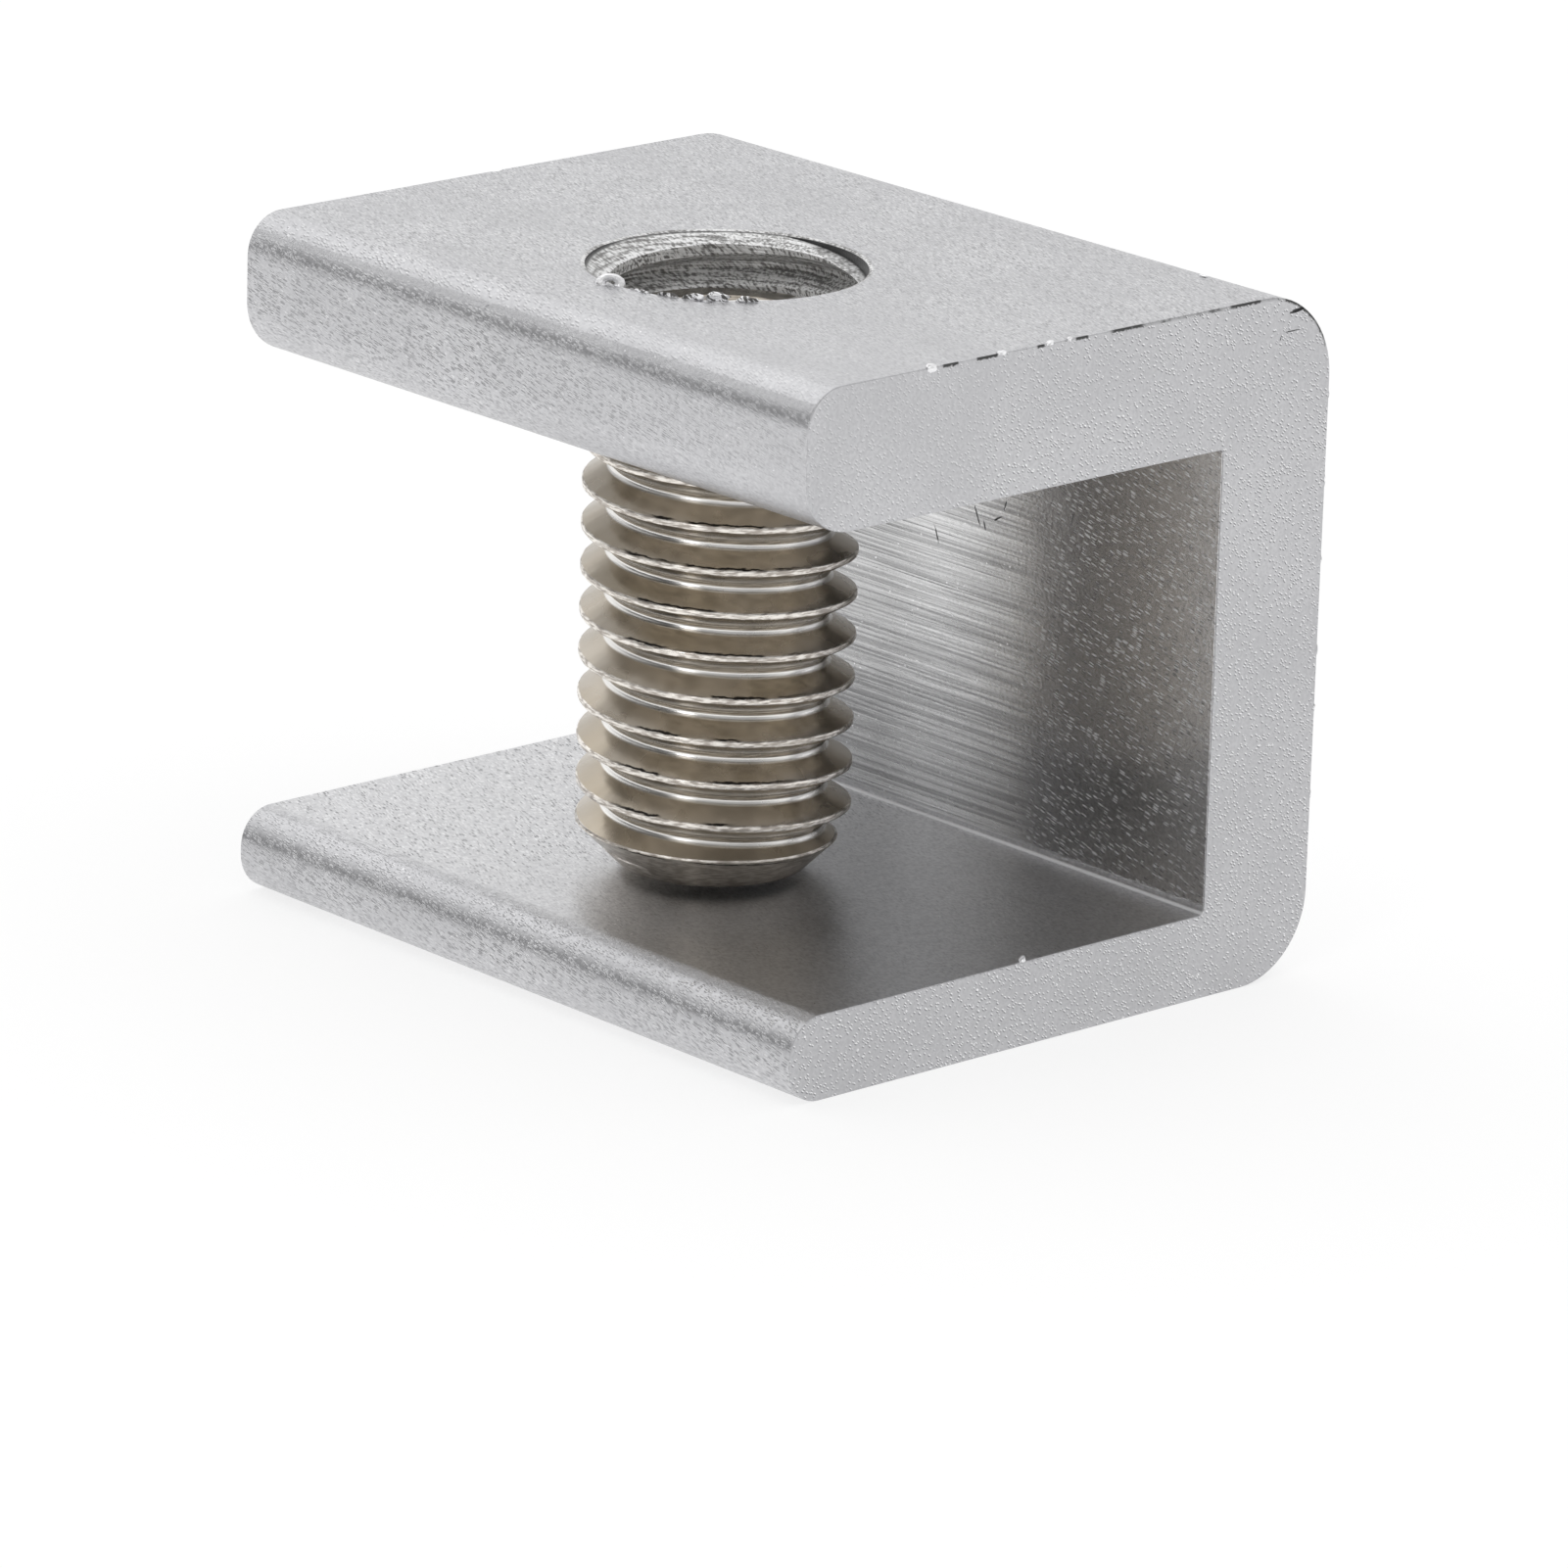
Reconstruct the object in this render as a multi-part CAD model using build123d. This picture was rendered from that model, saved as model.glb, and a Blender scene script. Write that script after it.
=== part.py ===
"""Sliding window lock: an aluminium C-clamp with a grub screw through its thick upper flange.

Millimetres. The origin is the middle of the underside. X runs along the extrusion, Y from the open
nose to the back of the web, and Z up along the screw.
"""

import os
from math import ceil, radians, tan

from build123d import *

# Extruded C-section
body_length = 24.0
body_height = 20.3
body_depth = 19.8
upper_flange = 4.15
lower_flange = 2.5
web = 4.1
upper_nose_top_radius = 1.2
upper_nose_low_radius = 1.6
lower_nose_top_radius = 1.1
lower_nose_low_radius = 1.15
back_top_radius = 2.65
back_low_radius = 2.5
throat_corner_radius = 0.1

# Tapped hole, drawn as the plain bore that clears the thread of the screw
hole_from_nose = 7.4
hole_off_middle = 0.3
thread_clearance = 0.06
mouth_chamfer = 0.09

# Grub screw, M8 x 1.25 x 16 with a flat point; the crests fall to the right on the side one looks at
thread_diameter = 7.9
thread_pitch = 1.25
left_handed = True
screw_length = 16.0
point_diameter = 5.5
top_face_diameter = 6.4
first_crest_height = 0.72
socket_across_flats = 4.0
socket_depth = 5.0
socket_mouth_diameter = 4.8
socket_drill_angle = 118.0

# Where the screw stands: its point is just clear of the lower flange
point_gap = 0.3


def nose_radius(wanted, flange):
    """Radius of one edge of a nose, no more than its share of the flange's thickness."""
    return min(wanted, 0.48 * flange)


def clamp_section():
    """Outline of the extrusion in the YZ plane, with the throat open towards -Y."""
    nose = -body_depth / 2
    back = body_depth / 2
    throat_end = back - web
    throat_top = body_height - upper_flange
    corners = [
        ((nose, 0), nose_radius(lower_nose_low_radius, lower_flange)),
        ((back, 0), back_low_radius),
        ((back, body_height), back_top_radius),
        ((nose, body_height), nose_radius(upper_nose_top_radius, upper_flange)),
        ((nose, throat_top), nose_radius(upper_nose_low_radius, upper_flange)),
        ((throat_end, throat_top), throat_corner_radius),
        ((throat_end, lower_flange), throat_corner_radius),
        ((nose, lower_flange), nose_radius(lower_nose_top_radius, lower_flange)),
    ]
    points = [place for place, radius in corners]
    radii = [radius for place, radius in corners]
    outline = FilletPolyline(*points, radius=radii, close=True)
    return Plane.YZ * make_face(outline)


def screw_axis():
    """The screw's axis at the height of the underside."""
    return Pos(hole_off_middle, hole_from_nose - body_depth / 2, 0)


def screw_hole():
    """The bore through the upper flange, opened a little at both mouths."""
    bore = thread_diameter / 2 + thread_clearance
    mouth = bore + mouth_chamfer
    bottom = body_height - upper_flange
    outline = Polyline(
        (0, bottom),
        (mouth, bottom),
        (bore, bottom + mouth_chamfer),
        (bore, body_height - mouth_chamfer),
        (mouth, body_height),
        (0, body_height),
        close=True,
    )
    return screw_axis() * revolve(Plane.XZ * make_face(outline), Axis.Z)


def clamp_body():
    """A sawn length of the extrusion with its hole."""
    blank = extrude(clamp_section(), amount=body_length / 2, both=True)
    return blank - screw_hole()


def thread_profile():
    """One pitch of the thread, from crest to crest, as (radius, height) points.

    The proportions are those of a metric screw: flanks at 30 degrees to the horizontal, a crest
    flat of an eighth of the pitch, and a flat of a sixth that stands for the rounded root.
    """
    crest = thread_diameter / 2
    crest_flat = thread_pitch / 8
    root_flat = thread_pitch / 6
    flank_height = (thread_pitch - crest_flat - root_flat) / 2
    root = crest - flank_height / tan(radians(30))
    return [
        (crest, 0),
        (crest, crest_flat),
        (root, crest_flat + flank_height),
        (root, crest_flat + flank_height + root_flat),
        (crest, thread_pitch),
    ]


def helix(radius, height):
    """One turn of the thread's helix, starting on the +X side at this height."""
    turn = Edge.make_helix(thread_pitch, thread_pitch, radius, center=(0, 0, height), lefthand=left_handed)
    return turn.edge()


def end_faces(profile, height):
    """The helical floor and the upright step that close a threaded rod at one end."""
    outer_radius = profile[0][0]
    axis = Edge.make_line((0, 0, height), (0, 0, height + thread_pitch))
    floor = Face.make_surface_from_curves(axis, helix(outer_radius, height))
    rim = [(radius, 0, height + rise) for radius, rise in profile]
    step = Face(Wire.make_polygon([(0, 0, height), *rim, (0, 0, height + thread_pitch)]))
    return [floor, step]


def threaded_rod():
    """An over-long rod with a full thread: ruled strips between helices, sewn into one solid."""
    profile = thread_profile()
    crest_flat = profile[1][1]
    start = first_crest_height - crest_flat / 2 - 2 * thread_pitch
    turns = ceil(screw_length / thread_pitch) + 3
    faces = end_faces(profile, start) + end_faces(profile, start + turns * thread_pitch)
    for turn in range(turns):
        base = start + turn * thread_pitch
        helices = [helix(radius, base + rise) for radius, rise in profile]
        for lower, upper in zip(helices[:-1], helices[1:]):
            faces.append(Face.make_surface_from_curves(lower, upper))
    return Solid(Shell(faces))


def screw_envelope():
    """What both ends are turned down to: a 45 degree chamfer to the point and one to the top face."""
    point = point_diameter / 2
    top = top_face_diameter / 2
    clear = thread_diameter / 2 + thread_pitch / 4
    outline = Polyline(
        (0, 0),
        (point, 0),
        (clear, clear - point),
        (clear, screw_length - (clear - top)),
        (top, screw_length),
        (0, screw_length),
        close=True,
    )
    # Turned so that its seam stays clear of the one where the helices start
    seam_turn = 33
    return Rot(0, 0, seam_turn) * revolve(Plane.XZ * make_face(outline), Axis.Z)


def hexagon_socket():
    """The key's socket: a broached hexagon over a drilled cone, with a countersunk mouth."""
    flats = Pos(0, 0, screw_length) * extrude(
        RegularPolygon(socket_across_flats / 2, 6, major_radius=False), amount=-socket_depth
    )
    drill = socket_across_flats / 2
    cone_depth = drill / tan(radians(socket_drill_angle / 2))
    mouth = socket_mouth_diameter / 2
    floor = screw_length - socket_depth
    drilled = Polyline((0, floor - cone_depth), (drill, floor), (0, floor), close=True)
    mouth_outline = Polyline(
        (0, screw_length - mouth), (mouth, screw_length), (0, screw_length), close=True
    )
    cone = revolve(Plane.XZ * make_face(drilled), Axis.Z)
    countersink = revolve(Plane.XZ * make_face(mouth_outline), Axis.Z)
    return flats + cone + countersink


def grub_screw():
    """The screw, standing with its point just above the lower flange."""
    screw = (threaded_rod() & screw_envelope()) - hexagon_socket()
    return screw_axis() * Pos(0, 0, lower_flange + point_gap) * screw


os.makedirs("parts", exist_ok=True)
export_step(clamp_body(), "parts/clamp_body.step")
export_step(grub_screw(), "parts/grub_screw.step")
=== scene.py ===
"""Sliding window lock in Blender: an aluminium C-clamp, sawn from an extrusion, and its grub screw.

Metres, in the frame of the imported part: X runs along the extrusion, Y from the open nose to the
web, and Z up along the screw.
"""

from math import cos, pi, radians, sin, tan

import bmesh
import bpy
from mathutils import Matrix, Vector


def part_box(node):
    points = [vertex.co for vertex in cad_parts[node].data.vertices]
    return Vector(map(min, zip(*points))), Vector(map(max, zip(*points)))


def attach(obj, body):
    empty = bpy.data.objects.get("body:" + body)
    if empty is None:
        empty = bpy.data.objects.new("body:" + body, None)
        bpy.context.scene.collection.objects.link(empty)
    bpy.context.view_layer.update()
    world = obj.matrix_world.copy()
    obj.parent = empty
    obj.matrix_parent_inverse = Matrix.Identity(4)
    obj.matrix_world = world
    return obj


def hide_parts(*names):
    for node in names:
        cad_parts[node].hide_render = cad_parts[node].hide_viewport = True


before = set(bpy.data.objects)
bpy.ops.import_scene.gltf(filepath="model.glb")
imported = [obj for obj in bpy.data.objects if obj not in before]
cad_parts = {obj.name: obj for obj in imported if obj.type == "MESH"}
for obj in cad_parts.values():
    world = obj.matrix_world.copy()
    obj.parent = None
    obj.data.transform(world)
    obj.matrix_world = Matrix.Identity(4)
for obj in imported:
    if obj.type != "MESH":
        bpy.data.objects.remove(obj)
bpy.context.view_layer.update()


# The clamp: a length of aluminium extrusion with a C section, blasted and clear anodised, sawn off
# at both ends. Its thick upper flange carries the tapped hole. The outside is matt with short pits
# along the extrusion that carry painted glints and painted shade, the sawn ends are a little darker
# with painted shade that deepens towards the bottom, and the throat keeps the lines of the die.

clamp_low, clamp_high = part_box("clamp_body")
upper_flange = 0.00415
lower_flange = 0.0025
web = 0.0041
throat_top = clamp_high.z - upper_flange
throat_end = clamp_high.y - web
upper_nose_top_radius = 0.0012
upper_nose_low_radius = 0.0016
lower_nose_top_radius = 0.0011
lower_nose_low_radius = 0.00115
back_top_radius = 0.00265
back_low_radius = 0.0025
throat_corner_radius = 0.0001
sawn_edge_bevel = 0.00004

screw_low, screw_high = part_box("grub_screw")
hole_x = (screw_low.x + screw_high.x) / 2
hole_y = (screw_low.y + screw_high.y) / 2
bore_radius = 0.00401
lower_mouth_chamfer = 0.00009
upper_mouth_radius = 0.0041
dish_depth_at_ridge = 0.00025

pitch = 0.00125
flank_angle = radians(30)
first_crest_height = 0.00072
first_crest = screw_low.z + first_crest_height
ridge_tip_radius = 0.00335
ridge_foot_radius = 0.00405
ridge_tip_width = pitch / 4
ridge_low = 0.0182
ridge_high = 0.0209

# How near to a place a point has to be to count as there
tolerance = 1e-6


def deselect_everything():
    """Leave edit mode and deselect all objects."""
    if bpy.context.object and bpy.context.object.mode != "OBJECT":
        bpy.ops.object.mode_set(mode="OBJECT")
    bpy.ops.object.select_all(action="DESELECT")


def new_block(name, low, high):
    """A cube primitive between two corners, with its place in its mesh."""
    deselect_everything()
    middle = [(a + b) / 2 for a, b in zip(low, high)]
    size = [b - a for a, b in zip(low, high)]
    bpy.ops.mesh.primitive_cube_add(size=1, location=middle, scale=size)
    block = bpy.context.object
    block.name = name
    bpy.ops.object.transform_apply(location=True, rotation=True, scale=True)
    return block


def new_cylinder(name, radius, bottom, top, x, y, sides=128, lean=0.0):
    """A cylinder primitive with its place in its mesh, upright or leaning towards +X."""
    deselect_everything()
    bpy.ops.mesh.primitive_cylinder_add(
        vertices=sides,
        radius=radius,
        depth=top - bottom,
        location=(x, y, (bottom + top) / 2),
        rotation=(0, lean, 0),
    )
    cylinder = bpy.context.object
    cylinder.name = name
    bpy.ops.object.transform_apply(location=True, rotation=True, scale=True)
    return cylinder


def pick(piece, kind, test):
    """In edit mode, select the vertices, edges or faces that pass a test on their middle point."""
    bpy.context.view_layer.objects.active = piece
    if piece.mode != "EDIT":
        bpy.ops.object.mode_set(mode="EDIT")
    bpy.ops.mesh.select_mode(type={"verts": "VERT", "edges": "EDGE", "faces": "FACE"}[kind])
    bpy.ops.mesh.select_all(action="DESELECT")
    shape = bmesh.from_edit_mesh(piece.data)
    for item in getattr(shape, kind):
        corners = [item] if kind == "verts" else item.verts
        middle = sum((v.co for v in corners), Vector()) / len(corners)
        if test(middle, item):
            item.select = True
    shape.select_flush_mode()
    bmesh.update_edit_mesh(piece.data)


def resize_mesh(piece, times):
    """Make a piece's mesh larger or smaller about the origin."""
    deselect_everything()
    piece.select_set(True)
    bpy.context.view_layer.objects.active = piece
    piece.scale = (times, times, times)
    bpy.ops.object.transform_apply(location=True, rotation=True, scale=True)


def apply_boolean(piece, cutter, operation):
    """Cut, join or intersect with a second solid, which is then removed.

    It is done at a thousand times the size, where the solver keeps the finest edges, and what has
    shrunk to a point is merged.
    """
    times_larger = 1000
    shortest_edge = 0.0005
    resize_mesh(cutter, times_larger)
    resize_mesh(piece, times_larger)
    boolean = piece.modifiers.new("cut", "BOOLEAN")
    boolean.operation = operation
    boolean.solver = "EXACT"
    boolean.object = cutter
    bpy.ops.object.modifier_apply(modifier=boolean.name)
    bpy.data.objects.remove(cutter)
    bpy.ops.object.mode_set(mode="EDIT")
    bpy.ops.mesh.select_all(action="SELECT")
    bpy.ops.mesh.dissolve_degenerate(threshold=shortest_edge)
    bpy.ops.object.mode_set(mode="OBJECT")
    resize_mesh(piece, 1 / times_larger)


def drawn_line(name, points):
    """An edge chain through these points: one vertex, extruded from point to point."""
    deselect_everything()
    bpy.ops.mesh.primitive_plane_add(size=0.001, location=points[0])
    line = bpy.context.object
    line.name = name
    bpy.ops.object.transform_apply(location=True, rotation=True, scale=True)
    bpy.ops.object.mode_set(mode="EDIT")
    bpy.ops.mesh.select_mode(type="VERT")
    bpy.ops.mesh.select_all(action="SELECT")
    bpy.ops.mesh.merge(type="CENTER")
    for start, end in zip(points[:-1], points[1:]):
        step = tuple(b - a for a, b in zip(start, end))
        bpy.ops.mesh.extrude_vertices_move(TRANSFORM_OT_translate={"value": step})
    bpy.ops.object.mode_set(mode="OBJECT")
    return line


def wind_thread(line, turns, repeats, start_height):
    """Sweep a profile up a left-hand helix round the hole's axis, and merge what meets.

    The profile lies at +X. Its own height of zero goes to a crest or to the middle between two,
    where the helix passes start_height.
    """
    steps_per_turn = 216
    meeting = 1e-7
    deselect_everything()
    line.select_set(True)
    bpy.context.view_layer.objects.active = line
    winding = line.modifiers.new("wind", "SCREW")
    winding.axis = "Z"
    winding.angle = -2 * pi * turns
    winding.steps = winding.render_steps = round(steps_per_turn * turns)
    winding.screw_offset = pitch * turns
    winding.iterations = repeats
    winding.use_smooth_shade = False
    bpy.ops.object.modifier_apply(modifier=winding.name)
    bpy.ops.object.mode_set(mode="EDIT")
    bpy.ops.mesh.select_all(action="SELECT")
    bpy.ops.mesh.remove_doubles(threshold=meeting)
    bpy.ops.object.mode_set(mode="OBJECT")
    line.location = (hole_x, hole_y, start_height)


def put_in_place(piece, turn=0.0):
    """Turn a piece about the upright axis through its own place, and write both into its mesh."""
    piece.rotation_euler = (0, 0, turn)
    deselect_everything()
    piece.select_set(True)
    bpy.context.view_layer.objects.active = piece
    bpy.ops.object.transform_apply(location=True, rotation=True, scale=True)


def clamp_blank():
    """The web with its two flanges drawn out of it, and every long edge rounded."""
    blank = new_block(
        "window_lock_clamp",
        (clamp_low.x, throat_end, clamp_low.z),
        (clamp_high.x, clamp_high.y, clamp_high.z),
    )
    bpy.ops.object.mode_set(mode="EDIT")
    for height in (lower_flange, throat_top):
        bpy.ops.mesh.select_all(action="SELECT")
        bpy.ops.mesh.bisect(plane_co=(0, 0, height), plane_no=(0, 0, 1))
    pick(
        blank,
        "faces",
        lambda middle, face: face.normal.y < -0.5 and not lower_flange < middle.z < throat_top,
    )
    reach = clamp_low.y - throat_end
    bpy.ops.mesh.extrude_region_move(TRANSFORM_OT_translate={"value": (0, reach, 0)})
    bpy.ops.mesh.select_all(action="SELECT")
    bpy.ops.mesh.dissolve_limited(angle_limit=radians(1))
    long_edges = [
        ((clamp_low.y, 0), lower_nose_low_radius, 10),
        ((clamp_low.y, lower_flange), lower_nose_top_radius, 10),
        ((clamp_low.y, throat_top), upper_nose_low_radius, 12),
        ((clamp_low.y, clamp_high.z), upper_nose_top_radius, 12),
        ((clamp_high.y, 0), back_low_radius, 16),
        ((clamp_high.y, clamp_high.z), back_top_radius, 16),
        ((throat_end, lower_flange), throat_corner_radius, 3),
        ((throat_end, throat_top), throat_corner_radius, 3),
    ]
    for (y, z), radius, segments in long_edges:
        pick(
            blank,
            "edges",
            lambda middle, edge: abs(middle.y - y) < tolerance
            and abs(middle.z - z) < tolerance
            and abs(middle.x) < tolerance,
        )
        bpy.ops.mesh.bevel(offset=radius, segments=segments, profile=0.5, affect="EDGES")
    pick(
        blank,
        "edges",
        lambda middle, edge: abs(abs(middle.x) - clamp_high.x) < tolerance
        and len(edge.link_faces) == 2
        and edge.link_faces[0].normal.angle(edge.link_faces[1].normal) > 1,
    )
    bpy.ops.mesh.bevel(offset=sawn_edge_bevel, segments=2, profile=0.5, affect="EDGES")
    bpy.ops.object.mode_set(mode="OBJECT")
    return blank


def drill_body():
    """What the drill takes out of the flange, with the chamfer of the lower mouth."""
    top = clamp_high.z + upper_flange
    drill = new_cylinder("drill", bore_radius, throat_top, top, hole_x, hole_y)
    pick(drill, "verts", lambda middle, vertex: middle.z < throat_top + tolerance)
    bpy.ops.transform.translate(value=(0, 0, lower_mouth_chamfer))
    pick(drill, "faces", lambda middle, face: face.normal.z < -0.5)
    wide = 1 + 2 * lower_mouth_chamfer / bore_radius
    bpy.ops.mesh.extrude_region_move(
        TRANSFORM_OT_translate={"value": (0, 0, -2 * lower_mouth_chamfer)}
    )
    bpy.ops.transform.resize(value=(wide, wide, 1), center_override=(hole_x, hole_y, throat_top))
    bpy.ops.object.mode_set(mode="OBJECT")
    return drill


def dish_body():
    """The shallow cone turned round the upper mouth, which also cuts the thread's last turn."""
    past_ridge_tip = 0.00035
    above_flange = 0.0015
    slope = dish_depth_at_ridge / (upper_mouth_radius - ridge_tip_radius)
    low_radius = ridge_tip_radius - past_ridge_tip
    bottom = clamp_high.z - (upper_mouth_radius - low_radius) * slope
    top = clamp_high.z + above_flange
    dish = new_cylinder("dish", low_radius, bottom, top, hole_x, hole_y)
    pick(dish, "verts", lambda middle, vertex: middle.z > clamp_high.z)
    wide = (upper_mouth_radius + (top - clamp_high.z) / slope) / low_radius
    bpy.ops.transform.resize(value=(wide, wide, 1), center_override=(hole_x, hole_y, top))
    bpy.ops.object.mode_set(mode="OBJECT")
    return dish


def tapped_ridge():
    """The thread that shows in the hole: a trapezoid wound up and out of its mouth."""
    half_tip = ridge_tip_width / 2
    half_foot = half_tip + (ridge_foot_radius - ridge_tip_radius) * tan(flank_angle)
    corners = [
        (ridge_tip_radius, 0, -half_tip),
        (ridge_tip_radius, 0, half_tip),
        (ridge_foot_radius, 0, half_foot),
        (ridge_foot_radius, 0, -half_foot),
    ]
    ridge = drawn_line("ridge", corners)
    pick(ridge, "verts", lambda middle, vertex: len(vertex.link_edges) == 1)
    bpy.ops.mesh.edge_face_add()
    bpy.ops.object.mode_set(mode="OBJECT")
    wind_thread(ridge, (ridge_high - ridge_low) / pitch, 1, ridge_low)
    pick(ridge, "edges", lambda middle, edge: len(edge.link_faces) == 1)
    bpy.ops.mesh.edge_face_add()
    pick(ridge, "faces", lambda middle, face: True)
    bpy.ops.mesh.normals_make_consistent(inside=False)
    bpy.ops.object.mode_set(mode="OBJECT")
    below_a_ridge = (ridge_low - first_crest - pitch / 2) / pitch
    put_in_place(ridge, -2 * pi * below_a_ridge)
    return ridge


def thread_run_out():
    """What takes the thread's first turn off the right and near sides, down to a feather edge."""
    lean = radians(5.4)
    radius = 0.00398
    bottom = 0.0201
    top = 0.0215
    shift = (top - bottom) / 2 * sin(lean)
    return new_cylinder("run_out", radius, bottom, top, hole_x + shift, hole_y, lean=lean)


def rough_lumps(name, lumps):
    """Small rough lumps as one mesh, each given by its place, half sizes and long direction."""
    raggedness = 0.22
    made = []
    for number, (place, half_sizes, direction) in enumerate(lumps):
        deselect_everything()
        bpy.ops.mesh.primitive_ico_sphere_add(subdivisions=2, radius=1)
        lump = bpy.context.object
        bpy.ops.object.mode_set(mode="EDIT")
        bpy.ops.transform.vertex_random(offset=raggedness, uniform=1.0, seed=number)
        bpy.ops.object.mode_set(mode="OBJECT")
        lump.scale = [half / 1000 for half in half_sizes]
        lump.rotation_euler = Vector(direction).to_track_quat("X", "Z").to_euler()
        lump.location = [value / 1000 for value in place]
        bpy.ops.object.transform_apply(location=True, rotation=True, scale=True)
        made.append(lump)
    deselect_everything()
    for lump in made:
        lump.select_set(True)
    bpy.context.view_layer.objects.active = made[0]
    bpy.ops.object.join()
    made[0].name = name
    return made[0]


def curl_of_swarf():
    """The small curled chip that hangs on the rim of the hole."""
    curl_radius = 0.00024
    strand_radius = 0.00013
    raggedness = 0.00001
    on_the_rim = (0.00013, -0.00668, clamp_high.z + 0.00003)
    deselect_everything()
    bpy.ops.mesh.primitive_torus_add(
        major_segments=24,
        minor_segments=10,
        major_radius=curl_radius,
        minor_radius=strand_radius,
        location=on_the_rim,
        rotation=(radians(62), 0, radians(48)),
    )
    curl = bpy.context.object
    curl.name = "curl"
    curl.scale = (1.15, 0.8, 1)
    bpy.ops.object.transform_apply(location=True, rotation=True, scale=True)
    bpy.ops.object.mode_set(mode="EDIT")
    bpy.ops.transform.vertex_random(offset=raggedness, uniform=1.0, seed=5)
    bpy.ops.object.mode_set(mode="OBJECT")
    return curl


def smooth_under(piece, angle):
    """Shade a piece smooth, apart from edges sharper than this."""
    deselect_everything()
    piece.select_set(True)
    bpy.context.view_layer.objects.active = piece
    bpy.ops.object.shade_smooth_by_angle(angle=angle)


# Place, half sizes and long direction, in millimetres: a chip out of the hole's rim, a gouge and a
# hooked scratch on the near end, knocks on the web, on the upper nose and on the far end
chips = [
    ((3.05, -5.72, 20.36), (0.60, 0.16, 0.12), (0.75, 0.65, 0)),
    ((12.02, 8.50, 19.78), (0.30, 0.09, 0.07), (0, 1, 0.11)),
    ((12.00, 8.32, 19.21), (0.33, 0.022, 0.02), (0, 1, 0)),
    ((12.00, 7.88, 19.07), (0.09, 0.022, 0.02), (0, 0.35, 0.9)),
    ((0.42, 5.80, 11.05), (0.30, 0.03, 0.03), (0.35, 0, -0.9)),
    ((2.10, 5.80, 12.00), (0.34, 0.035, 0.03), (0.45, 0, -0.9)),
    ((2.42, 5.80, 11.78), (0.16, 0.035, 0.03), (0.3, 0, -0.9)),
    ((2.95, 5.80, 12.10), (0.20, 0.035, 0.03), (0.9, 0, 0.5)),
    ((3.25, 5.80, 12.55), (0.18, 0.03, 0.03), (0.3, 0, 0.9)),
    ((6.05, 5.80, 12.80), (0.24, 0.025, 0.02), (0.1, 0, 1)),
    ((-5.92, -9.75, 16.55), (0.16, 0.10, 0.10), (1, 0, 0)),
    ((-11.95, -0.60, 20.32), (0.10, 0.25, 0.10), (0, 0, 1)),
]

# The same for what stands proud: the saw's burrs on the near end, the torn rim of the hole, and
# crumbs on the top, the lower flange and the nose
burrs = [
    ((11.96, -5.42, 20.27), (0.20, 0.11, 0.13), (0, 1, 0)),
    ((11.98, -2.84, 20.29), (0.16, 0.07, 0.08), (0, 1, 0)),
    ((11.98, -1.02, 20.29), (0.15, 0.07, 0.08), (0, 1, 0)),
    ((11.98, -0.30, 20.29), (0.10, 0.07, 0.07), (0, 1, 0)),
    ((11.95, 9.88, 17.10), (0.16, 0.05, 0.06), (0, 0, 1)),
    ((11.95, 9.88, 14.60), (0.22, 0.05, 0.06), (0, 0, 1)),
    ((11.95, 9.88, 12.30), (0.12, 0.05, 0.07), (0, 0, 1)),
    ((11.95, 9.88, 9.60), (0.20, 0.06, 0.06), (0, 0, 1)),
    ((11.95, 9.88, 7.90), (0.12, 0.05, 0.08), (0, 0, 1)),
    ((11.95, 9.88, 5.30), (0.18, 0.05, 0.06), (0, 0, 1)),
    ((1.20, -6.52, 20.31), (0.34, 0.05, 0.06), (1, 0.16, 0)),
    ((2.05, -6.20, 20.31), (0.34, 0.05, 0.09), (0.9, 0.4, 0)),
    ((2.70, -5.86, 20.34), (0.30, 0.07, 0.13), (0.8, 0.55, 0.1)),
    ((3.22, -5.42, 20.38), (0.36, 0.07, 0.17), (0.72, 0.7, -0.1)),
    ((3.78, -4.86, 20.34), (0.32, 0.06, 0.12), (0.6, 0.8, 0)),
    ((9.10, 7.60, 20.27), (0.20, 0.08, 0.07), (1, 0, 0)),
    ((11.95, -1.20, 2.55), (0.14, 0.08, 0.10), (0, 0.5, 0.5)),
    ((-1.68, -9.66, 19.75), (0.12, 0.05, 0.05), (1, 0, 0.5)),
]

clamp = clamp_blank()
apply_boolean(clamp, drill_body(), "DIFFERENCE")
apply_boolean(clamp, tapped_ridge(), "UNION")
cut_away = dish_body()
apply_boolean(cut_away, thread_run_out(), "UNION")
apply_boolean(cut_away, rough_lumps("chips", chips), "UNION")
apply_boolean(clamp, cut_away, "DIFFERENCE")
apply_boolean(clamp, rough_lumps("burrs", burrs), "UNION")
apply_boolean(clamp, curl_of_swarf(), "UNION")
smooth_under(clamp, radians(12))


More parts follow.
